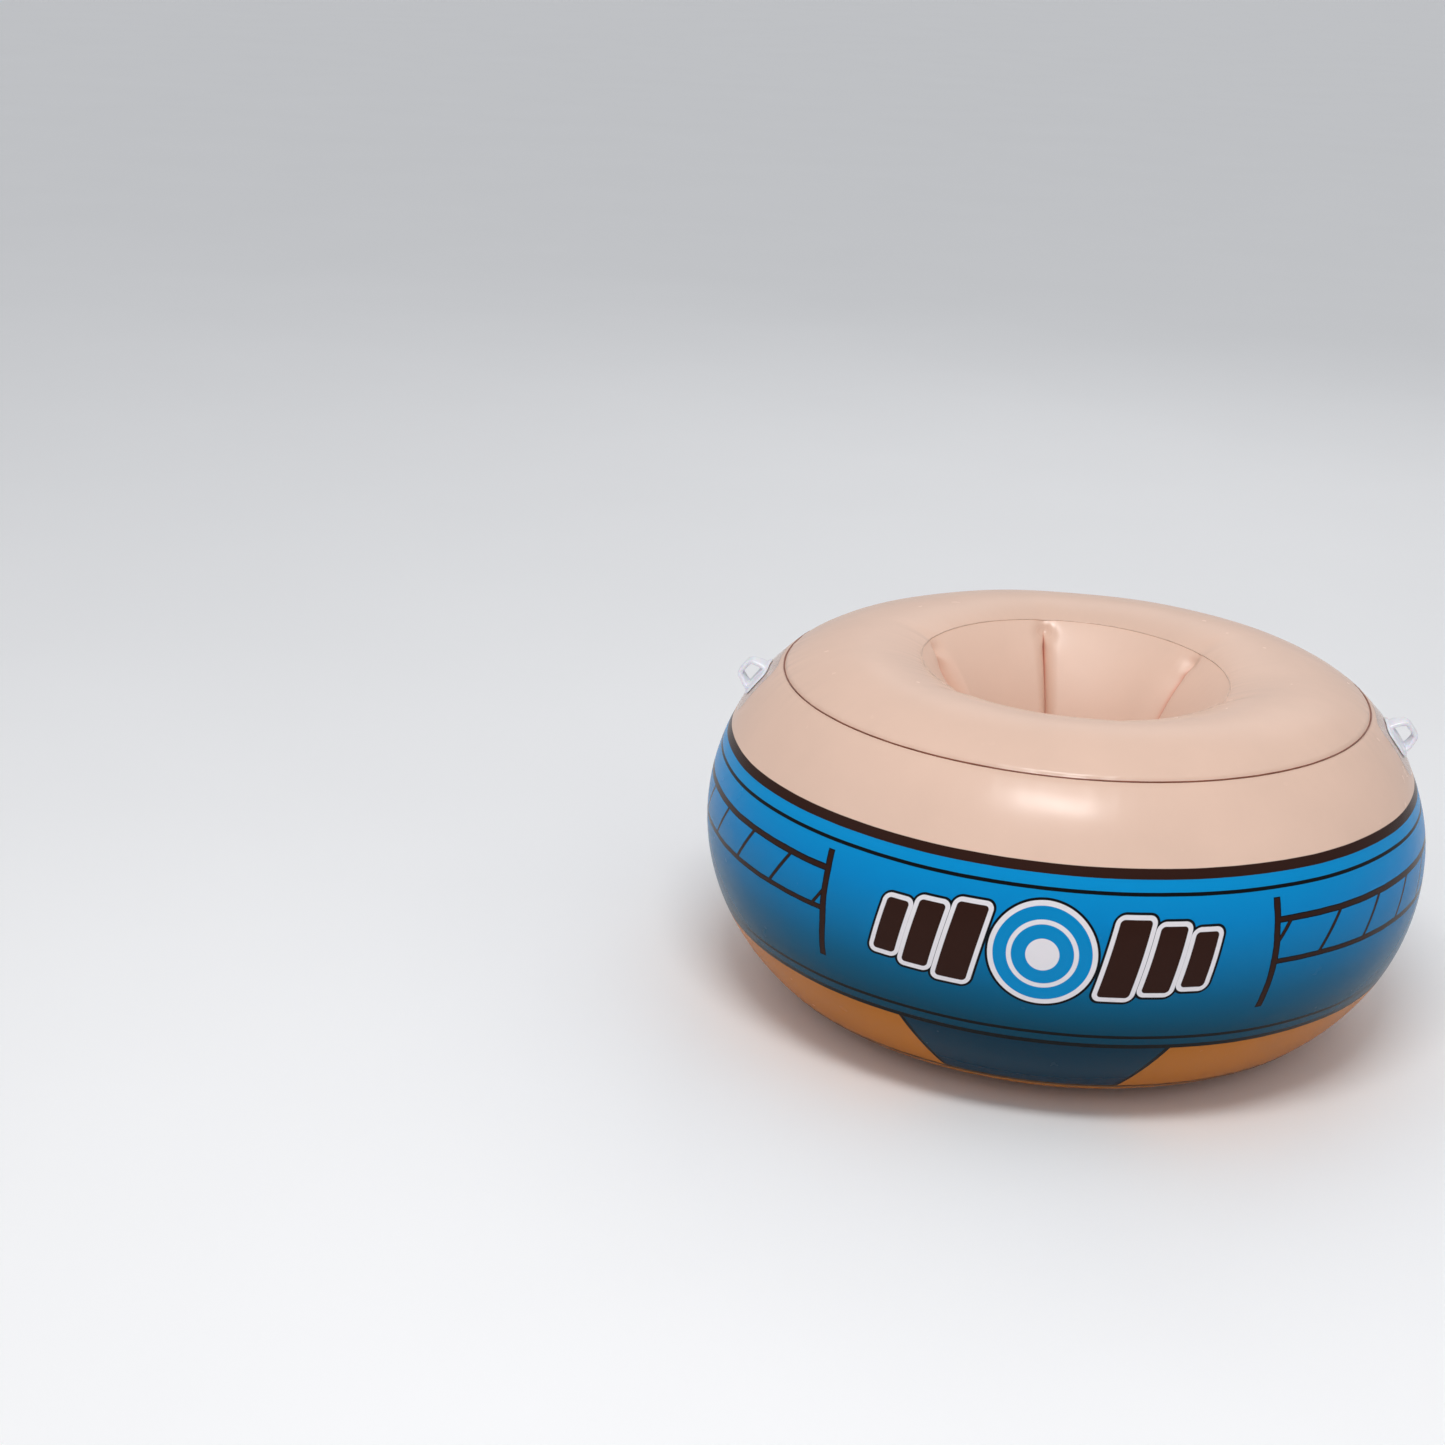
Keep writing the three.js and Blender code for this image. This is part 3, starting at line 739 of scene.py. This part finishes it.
def make_hole_skin():
    surface, fold_shade, shine = hole_surface()
    piece = add_object(
        "hole_skin", *shell_of(surface, SHEET), LOBE_VINYL, slot="skin_sheet",
        stands_for=["inner_wall"],
    )
    for name, values in (("fold_shade", fold_shade), ("dimple", shine)):
        layer = piece.data.attributes.new(name, "FLOAT", "POINT")
        both_sides = np.concatenate([values, values[::-1]])
        layer.data.foreach_set("value", both_sides.ravel().astype(np.float32))


# ---- welded fins ---------------------------------------------------------------------------------


def make_weld(name, seam, outward, tip, material, at_hole, below):
    """A thin fin of fused margins, a little uneven, from inside the ring to its tip in the seam."""
    azimuth = np.linspace(0, 2 * math.pi, 480, endpoint=False)
    section = [(-6, -0.7), (-1, -0.75), (tip - 0.35, -0.6), (tip, -0.25)]
    section += [(reach, -side) for reach, side in reversed(section)]
    uneven = 0.16 * waves(azimuth, (29, 47, 71, 113, 157))
    sideways = 0.12 * waves(azimuth, (13, 31, 53))
    pull = scallop(azimuth) if at_hole else 0 * azimuth
    rise = PULL_RISE * pull + (rim_tilt(azimuth) if at_hole and not below else 0)
    rows = []
    for reach, side in section:
        out = (reach + (uneven if reach > 0 else 0)) * MM
        over = (side + sideways) * MM
        radius = seam[0] + out * math.cos(outward) - over * math.sin(outward) - pull
        height = seam[1] + out * math.sin(outward) + over * math.cos(outward) + rise
        rows.append(round_points(radius, height, azimuth))
    grid = np.stack(rows)
    if below:
        grid = mirror(grid)
    faces = ring_faces(grid.shape[0], grid.shape[1], True)
    add_object(name + "_fin", grid.reshape(-1, 3), faces, material, slot="weld_line", stands_for=[name])


def make_welds():
    shoulder = (CROWN_ARC.angle_of(SHOULDER_SEAM) + OUTER_ARC.angle_of(SHOULDER_SEAM)) / 2
    hole = (CROWN_ARC.angle_of(HOLE_SEAM) + INNER_ARC.angle_of(HOLE_SEAM)) / 2
    # The shoulder fin carries painted shadow for the seam's groove.
    make_weld("top_outer_weld", SHOULDER_SEAM, shoulder, 0.1, SHOULDER_WELD_SHADE, False, False)
    make_weld("top_inner_weld", HOLE_SEAM, hole, 1.0, HOLE_WELD, True, False)
    make_weld("bottom_outer_weld", SHOULDER_SEAM, shoulder, 0.5, BOTTOM_WELD, False, True)
    make_weld("bottom_inner_weld", HOLE_SEAM, hole, 1.0, HOLE_WELD, True, True)


# ---- fittings ------------------------------------------------------------------------------------


def wall_lift(height):
    return math.asin((height - MID_HEIGHT) / OUTER_ARC.radius)


def wrap(points, azimuth, lift):
    """Bends local points (round the ring, up the wall, out of it) onto the wall."""
    points = np.asarray(points, float)
    reach = float(OUTER_ARC.point(lift)[0])
    return wall_point(azimuth + points[:, 0] / reach, lift + points[:, 1] / OUTER_ARC.radius, points[:, 2])


def wall_frame(azimuth, lift):
    radius, height = (float(c) for c in OUTER_ARC.point(lift))
    round_axis = Vector((-math.sin(azimuth), math.cos(azimuth), 0))
    out = Vector((math.cos(lift) * math.cos(azimuth), math.cos(lift) * math.sin(azimuth), math.sin(lift)))
    up = out.cross(round_axis)
    frame_matrix = Matrix((round_axis, up, out)).transposed().to_4x4()
    frame_matrix.translation = (radius * math.cos(azimuth), radius * math.sin(azimuth), height)
    return frame_matrix


def pad_grid(half_width, half_height, power, top, bottom, edge, rings=14, spokes=96):
    """A closed pad with a superellipse outline: flat underneath, and rounded down at its edge."""
    turn = np.linspace(0, 2 * math.pi, spokes, endpoint=False)
    cos, sin = np.cos(turn), np.sin(turn)
    scale = (np.abs(cos) ** power + np.abs(sin) ** power) ** (-1 / power)
    shares = np.linspace(0.04, 1, rings)
    small = min(half_width, half_height)
    levels = []
    for share in shares:
        inset = small * (1 - share)
        drop = edge * (1 - math.sqrt(max(0.0, 1 - (1 - min(inset / edge, 1)) ** 2)))
        levels.append((share, top - min(drop, top - bottom - 0.05)))
    levels += [(share, bottom) for share in shares[::-1]]
    rows = []
    for share, level in levels:
        outline = (half_width * scale * cos * share, half_height * scale * sin * share)
        rows.append(np.stack([*outline, np.full(spokes, level)], axis=1))
    points = np.concatenate(rows)
    faces = ring_faces(len(rows), spokes, False)
    faces.append(tuple(range(spokes))[::-1])
    faces.append(tuple(range(len(points) - spokes, len(points))))
    return points, faces


def outward_first(points, faces):
    """Turns the faces round if the closed mesh is inside out."""
    total = 0.0
    for face in faces:
        a = points[face[0]]
        for b, c in zip(face[1:], face[2:]):
            total += float(np.dot(a, np.cross(points[b], points[c])))
    return faces if total > 0 else [face[::-1] for face in faces]


def sweep(path, widths, thickness, sides=20):
    """A band with a rounded section along a path in the (up, out) plane; widths are across the path."""
    path = np.asarray(path, float)
    tangent = np.gradient(path, axis=0)
    tangent /= np.linalg.norm(tangent, axis=1, keepdims=True)
    turn = np.linspace(0, 2 * math.pi, sides, endpoint=False)
    power = 2 / 4.0
    across = np.sign(np.cos(turn)) * np.abs(np.cos(turn)) ** power
    through = np.sign(np.sin(turn)) * np.abs(np.sin(turn)) ** power
    rows = []
    for (up, out), (t_up, t_out), width in zip(path, tangent, widths):
        x = across * width / 2
        shift = through * thickness / 2
        rows.append(np.stack([x, up - t_out * shift, out + t_up * shift], axis=1))
    points = np.concatenate(rows)
    faces = ring_faces(len(rows), sides, False)
    faces.append(tuple(range(sides))[::-1])
    faces.append(tuple(range(len(points) - sides, len(points))))
    return points, outward_first(points, faces)


def rounded_path(corners, radius, steps=7):
    """A polyline with its inner corners rounded."""
    corners = [Vector(c) for c in corners]
    path = [corners[0]]
    for before, here, after in zip(corners, corners[1:], corners[2:]):
        start = here + (before - here).normalized() * radius
        end = here + (after - here).normalized() * radius
        for step in range(steps + 1):
            t = step / steps
            path.append(start * (1 - t) ** 2 + here * 2 * t * (1 - t) + end * t * t)
    path.append(corners[-1])
    return np.array([tuple(p) for p in path])


def resample(path, count):
    steps = np.concatenate([[0], np.cumsum(np.linalg.norm(np.diff(path, axis=0), axis=1))])
    places = np.linspace(0, steps[-1], count)
    return np.stack([np.interp(places, steps, path[:, k]) for k in range(2)], axis=1)


def join_meshes(*parts):
    points, faces, start = [], [], 0
    for part_points, part_faces in parts:
        points.append(part_points)
        faces += [tuple(i + start for i in face) for face in part_faces]
        start += len(part_points)
    return np.concatenate(points), faces


def fuse(piece, voxel, smoothing):
    """Makes one skin of a piece's overlapping solids, with soft fillets where they meet."""
    remesh = piece.modifiers.new("fuse", "REMESH")
    remesh.mode, remesh.voxel_size, remesh.use_smooth_shade = "VOXEL", voxel, True
    smooth = piece.modifiers.new("soften", "SMOOTH")
    smooth.factor, smooth.iterations = 0.5, smoothing
    apply_modifiers(piece)


LOOP_BASE_GAP = 1.1
LOOP_TIP = 23.4
LOOP_BAND = 6.6
LOOP_PLATE = (37, 22)
LOOP_LIP = (21, 20.2)
LOOP_VOXEL = 0.55 * MM
PATCH_THICKNESS = (0.8, 0.3)


def make_loop(side, azimuth):
    """A moulded trapezoid loop that grows out of a rounded plate."""
    lift = wall_lift(LOOP_HEIGHT)
    half = [(17.6, 1.6), (17.2, 7.0), (10.0, LOOP_TIP)]
    corners = [(-up, out) for up, out in half] + half[::-1]
    path = resample(rounded_path(corners, 5.0), 60)
    widths = np.interp(path[:, 1], [0, 5, LOOP_TIP], [33, 29, 19.5])
    bow = sweep(path, widths, LOOP_BAND)
    plate_points, plate_faces = pad_grid(*LOOP_PLATE, 4.0, LOOP_BASE_GAP + 3, LOOP_BASE_GAP, 1.7)
    plate = (plate_points, outward_first(plate_points, plate_faces))
    lip_points, lip_faces = pad_grid(*LOOP_LIP, 5.0, LOOP_BASE_GAP + 4.2, LOOP_BASE_GAP, 3.0)
    lip = (lip_points, outward_first(lip_points, lip_faces))
    points, faces = join_meshes(bow, plate, lip)
    placed = wrap(points * MM, azimuth, lift)
    piece = add_object(
        f"{side}_grab_loop", placed, faces, WHITE_PVC, slot="white_fitting", stands_for=[f"{side}_loop"]
    )
    fuse(piece, LOOP_VOXEL, 8)


def make_loop_patch(side, azimuth):
    points, faces = pad_grid(58, 42, 5.0, *PATCH_THICKNESS, 0.5, 26, 128)
    placed = wrap(points * MM, azimuth, wall_lift(LOOP_HEIGHT))
    faces = outward_first(points, faces)
    add_object(
        f"{side}_clear_patch", placed, faces, CLEAR_PATCH, slot="clear_patch",
        stands_for=[f"{side}_loop_patch"],
    )


VALVE_FRAME = wall_frame(VALVE_AZIMUTH, wall_lift(VALVE_HEIGHT))


def spun(profile, segments=96, grips=0, grip_depth=0.0, grips_from=math.inf):
    """A closed profile in millimetres of (radius, height), spun about the valve's axis. Points on
    the axis become one vertex. Radii beyond grips_from are cut into shallow grips."""
    turn = np.linspace(0, 2 * math.pi, segments, endpoint=False)
    points, rows = [], []
    for radius, height in profile:
        if radius == 0:
            rows.append([len(points)])
            points.append((0, 0, height))
            continue
        cut = grip_depth * (0.5 + 0.5 * np.cos(grips * turn)) if radius > grips_from else 0 * turn
        rows.append(list(range(len(points), len(points) + segments)))
        points += [(r * c, r * s, height) for r, c, s in zip(radius - cut, np.cos(turn), np.sin(turn))]
    faces = []
    on_axis = len(rows[0]) == 1
    for a, b in zip(rows, rows[1:] + ([] if on_axis else rows[:1])):
        for i in range(segments):
            j = (i + 1) % segments
            if len(a) == 1:
                faces.append((a[0], b[i], b[j]))
            elif len(b) == 1:
                faces.append((a[i], b[0], a[j]))
            else:
                faces.append((a[i], b[i], b[j], a[j]))
    points = np.array(points, float)
    return points, outward_first(points, faces)


def place_on_valve(points):
    matrix = np.array(VALVE_FRAME)
    return (points * MM) @ matrix[:3, :3].T + matrix[:3, 3]


def valve_piece(name, mesh, material, body, slot, stands_for=(), bevel=0.25):
    points, faces = mesh
    piece = add_object(name, place_on_valve(points), faces, material, body, slot, stands_for)
    if bevel:
        edge = piece.modifiers.new("edges", "BEVEL")
        edge.width, edge.segments, edge.limit_method = bevel * MM, 3, "ANGLE"
        edge.angle_limit = math.radians(32)
        apply_modifiers(piece)
    return piece


VALVE_HOLE = 18.3


def cut_valve_hole(skin):
    """Opens the wall under the valve, inside the thickness of the socket's own wall."""
    points, faces = spun([(0, -40), (VALVE_HOLE, -40), (VALVE_HOLE, 20), (0, 20)])
    cutter = add_object("valve_hole_cutter", place_on_valve(points), faces, WHITE_PVC, body=None)
    cut = skin.modifiers.new("valve_hole", "BOOLEAN")
    cut.operation, cut.solver, cut.object = "DIFFERENCE", "EXACT", cutter
    apply_modifiers(skin)
    bpy.data.objects.remove(cutter)


def make_valve_base():
    profile = [
        (17, -16), (19.2, -16), (20, -15), (20, 1.2), (32, 1.2), (32.3, 1.8), (31.6, 2.4), (29.4, 2.4),
        (28.8, 2.9), (27.2, 2.9), (26.6, 2.4), (24.6, 2.4), (24, 2.8), (22.6, 2.8), (22, 2.4), (20.4, 2.6),
        (17, 2.6),
    ]
    valve_piece("valve_socket", spun(profile), WHITE_PVC, "ring", "white_fitting", ["valve_base"])


def make_valve_seal():
    profile = [(17.1, 2.95), (18.9, 2.95), (18.9, 3.65), (17.1, 3.65)]
    valve_piece("valve_gasket", spun(profile), SEAL_RUBBER, "insert", "seal_rubber", ["valve_seal"], 0.2)


def make_valve_insert():
    profile = [
        (13.4, -14), (15.8, -14), (16.6, -12), (16.6, 4), (21.5, 4), (21.5, 6.4), (18.6, 6.4), (18.2, 6.1),
        (15.2, 6.1), (14.8, 6.4), (13.4, 6.4), (13.4, 1), (13.9, 0.6), (13.9, -1.4), (13.4, -1.8),
    ]
    mesh = spun(profile, 120, 24, 0.5, 21)
    valve_piece("valve_stem", mesh, WHITE_PVC, "insert", "white_fitting", ["valve_insert"])


def make_flap():
    profile = [(0, -14.3), (13.2, -14.3), (14.3, -14.4), (14.6, -14.9), (14.3, -15.4), (10.5, -15.5),
               (10, -15.2), (4, -15.2), (3.5, -15.5), (0, -15.5)]
    valve_piece("check_flap", spun(profile), CLEAR_FLAP, "flap", "clear_flap", ["valve_flap"], 0)


def make_cap():
    profile = [
        (0, 6.7), (11.3, 6.7), (10.2, 0.9), (10.8, 0.7), (11.8, 1.0), (12.9, 6.7), (20.2, 6.7), (20.5, 7.0),
        (20.5, 8.2), (19.8, 8.8), (18.6, 8.9), (17.6, 8.5), (16.5, 8.3), (9, 8.3), (8.2, 8.6), (7.2, 8.9),
        (0, 8.9),
    ]
    mesh = spun(profile, 120, 30, 0.35, 20.3)
    valve_piece("valve_lid", mesh, WHITE_PVC, "cap", "white_fitting", ["valve_cap"], 0.15)


def bar(start, end, low, high, half_width, corner=1.2):
    """A flat bar along the strap, with rounded long edges, in valve millimetres."""
    inset, lip = half_width - corner, 0.3
    outline = [
        (-inset, low), (inset, low), (half_width, low + lip), (half_width, high - lip),
        (inset, high), (-inset, high), (-half_width, high - lip), (-half_width, low + lip),
    ]
    places = np.linspace(start, end, 12)
    points = np.array([(x, y, z) for y in places for x, z in outline], float)
    faces = ring_faces(len(places), len(outline), False)
    faces.append(tuple(range(len(outline)))[::-1])
    faces.append(tuple(range(len(points) - len(outline), len(points))))
    return points, outward_first(points, faces)


HINGE_LINE = -28.0


def make_strap():
    """The cap's strap: a tab on the stem, a bar on the cap, and the thin curled web between them."""
    tab = bar(-19.5, HINGE_LINE, 4, 6.4, 5)
    valve_piece("strap_tab", tab, WHITE_PVC, "insert", "white_fitting", bevel=0.2)
    strap = bar(HINGE_LINE, -20.2, 6.75, 8.1, 5)
    valve_piece("strap_bar", strap, WHITE_PVC, "cap", "white_fitting", ["cap_strap"], 0.2)
    turn = np.linspace(-math.pi / 2, math.pi / 2, 17)
    bend, middle, tail = 1.1, 6.5, HINGE_LINE + 1.2
    path = [(HINGE_LINE - bend * math.cos(t), middle + bend * math.sin(t)) for t in turn]
    path = [(tail, middle - bend), *path, (tail, middle + bend)]
    points, faces = sweep(resample(np.array(path), 30), np.full(30, 8.6), 0.8, 16)
    web = add_object("strap_web", place_on_valve(points), faces, WHITE_PVC, body=None, slot="white_fitting")
    low, high = (Vector(place_on_valve(np.array([[0, HINGE_LINE, z]]))[0]) for z in (5.5, 7.5))
    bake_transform(web)


def make_valve_patch():
    """A clear disc with a hole for the socket."""
    outer, inner, spokes = 46, 20.6, 96
    points, _ = pad_grid(outer, outer, 2.0, *PATCH_THICKNESS, 0.5, 20, spokes)
    reach = np.hypot(points[:, 0], points[:, 1])
    share = (reach - reach.min()) / (outer - reach.min())
    points[:, :2] *= ((inner + (outer - inner) * share) / np.maximum(reach, 1e-6))[:, None]
    faces = outward_first(points, ring_faces(len(points) // spokes, spokes, True))
    placed = wrap(points * MM, VALVE_AZIMUTH, wall_lift(VALVE_HEIGHT))
    add_object(
        "valve_clear_patch", placed, faces, CLEAR_PATCH, slot="clear_patch", stands_for=["valve_patch"]
    )


# ---- stage ---------------------------------------------------------------------------------------

LENS = 60.0
CAMERA_PLACE = (0.0, -2.9527, 1.3431)
CAMERA_YAW, CAMERA_PITCH, CAMERA_ROLL = (math.radians(a) for a in (-8.632, 19.007, 2.774))


def make_camera():
    sin, cos = math.sin, math.cos
    yaw, pitch, roll = CAMERA_YAW, CAMERA_PITCH, CAMERA_ROLL
    forward = Vector((sin(yaw) * cos(pitch), cos(yaw) * cos(pitch), -sin(pitch)))
    level = Vector((cos(yaw), -sin(yaw), 0))
    upright = level.cross(forward)
    right = level * cos(roll) + upright * sin(roll)
    up = upright * cos(roll) - level * sin(roll)
    data = bpy.data.cameras.new("camera")
    data.lens, data.sensor_width = LENS, 36.0
    data.clip_end = 1000.0
    camera = bpy.data.objects.new("camera", data)
    matrix = Matrix((right, up, -forward)).transposed().to_4x4()
    matrix.translation = CAMERA_PLACE
    camera.matrix_world = matrix
    bpy.context.scene.collection.objects.link(camera)
    bpy.context.scene.camera = camera


def add_light(name, place, target, width, depth, power, colour=(1, 1, 1)):
    data = bpy.data.lights.new(name, "AREA")
    data.shape, data.size, data.size_y = "RECTANGLE", width, depth
    data.energy, data.color = power, colour
    light = bpy.data.objects.new(name, data)
    light.location = place
    light.rotation_euler = (Vector(target) - Vector(place)).to_track_quat("-Z", "Y").to_euler()
    bpy.context.scene.collection.objects.link(light)
    return light


KEY_PLACE, KEY_SIZE = (-0.1, -1.75, 3.1), (1.4, 0.5)


def make_lights():
    """Soft light from over the front, its sharper reflection on the film, weak fills and a glow behind."""
    middle = (0, 0, 0.3)
    add_light("key_softbox", KEY_PLACE, middle, *KEY_SIZE, 44, (1.0, 0.98, 0.96))
    glint = add_light("key_glint", KEY_PLACE, middle, *KEY_SIZE, 165)
    glint.visible_diffuse = False
    add_light("left_fill", (-3.6, -1.6, 2.2), middle, 2.2, 2.2, 6, (0.96, 0.97, 1.0))
    add_light("right_fill", (3.6, -1.2, 2.4), middle, 2.0, 2.0, 4)
    add_light("back_glow", (0.6, 3.6, 2.8), middle, 3.0, 1.6, 16)
    world = bpy.data.worlds.new("studio")
    world.use_nodes = True
    background = world.node_tree.nodes["Background"]
    background.inputs["Color"].default_value = (0.93, 0.95, 0.98, 1)
    background.inputs["Strength"].default_value = 0.58
    bpy.context.scene.world = world
    bpy.context.scene.view_settings.view_transform = "Standard"


def make_floor():
    paint = Paint("pale_floor")
    paint.colour(paint.mottled(linear(252, 252, 253), 0.98, 1.5))
    paint.rough(0.55, 0.65, 4.0)
    half, level = 300.0, -0.2 * MM
    corners = [(-half, -half, level), (half, -half, level), (half, half, level), (-half, half, level)]
    floor = add_object("floor", corners, [(0, 1, 2, 3)], paint.material, body=None)


# ---- everything ----------------------------------------------------------------------------------

make_camera()
make_lights()
make_floor()
make_top_skin()
make_bottom_skin()
wall_skin = make_wall_skin()
make_hole_skin()
make_welds()
for side, azimuth in LOOP_AZIMUTHS.items():
    make_loop_patch(side, azimuth)
    make_loop(side, azimuth)
cut_valve_hole(wall_skin)
make_valve_patch()
make_valve_base()
make_valve_seal()
make_valve_insert()
make_flap()
make_cap()
make_strap()
